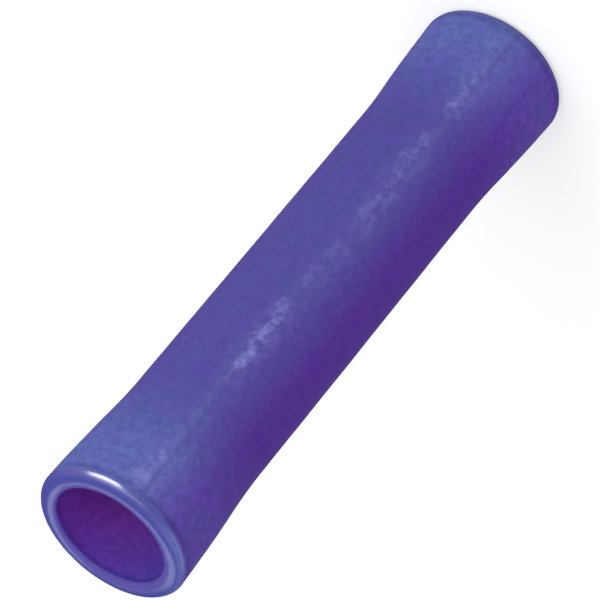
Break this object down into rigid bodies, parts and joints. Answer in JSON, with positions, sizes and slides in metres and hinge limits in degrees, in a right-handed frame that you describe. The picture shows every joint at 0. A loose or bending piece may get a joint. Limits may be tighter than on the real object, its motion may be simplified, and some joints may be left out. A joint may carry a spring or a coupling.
{
  "type": "butt splice connector",
  "caption": "Insulated butt splice: a vinyl sleeve with flared mouths grips a tinned copper crimp barrel whose centre stop meets the ends of two stripped wires.",
  "frame": {"origin": "centre of the splice, on the axis and in the middle of the wire stop", "axes": "+Z along the axis of the splice, towards one mouth; the two ends are alike and the part stands on the lower one"},
  "size_m": [0.0056, 0.0056, 0.025],
  "materials": {
    "violet_blue_vinyl": "satin, lightly mottled",
    "tinned_copper": "bright tin plating"
  },
  "bodies": {
    "root": {"insulating_sleeve": "violet_blue_vinyl", "crimp_barrel": "tinned_copper"}
  },
  "joints": []
}
